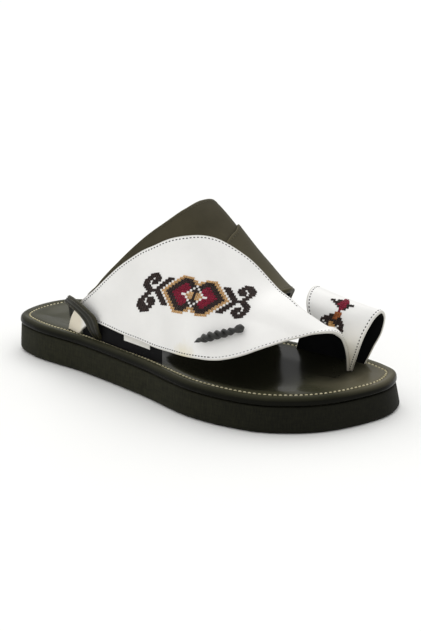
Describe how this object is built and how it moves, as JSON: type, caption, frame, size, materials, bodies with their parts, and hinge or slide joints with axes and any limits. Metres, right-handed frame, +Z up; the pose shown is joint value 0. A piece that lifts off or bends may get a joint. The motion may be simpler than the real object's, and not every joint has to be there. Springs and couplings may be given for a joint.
{
  "type": "arabic sandal",
  "caption": "Right arabic sandal with a wedge sole, a stitched olive footbed, an olive instep strap, a white leaf-shaped panel over it and a wide white ring for the big toe.",
  "frame": {"origin": "on the floor under the middle of the sandal's bounding box", "axes": "+X towards the toes, +Y towards the inner side (big toe), +Z up"},
  "size_m": [0.285, 0.1117, 0.1214],
  "materials": {
    "sole_rubber": "dark olive-black, matt, finely brushed side",
    "footbed_leather": "dark olive, glossy, smooth",
    "olive_leather": "dark olive, semi-gloss, smooth",
    "white_leather": "white, smooth, soft sheen",
    "cord_leather": "near-black olive, semi-gloss",
    "label_cloth": "off-white woven tape, blank"
  },
  "bodies": {
    "root": {"outsole": "sole_rubber", "footbed": "footbed_leather", "instep_strap": "olive_leather", "leaf_and_toe_ring": "white_leather", "keeper_loop": "olive_leather", "twisted_thong": "cord_leather", "label_tab": "label_cloth"}
  },
  "joints": []
}
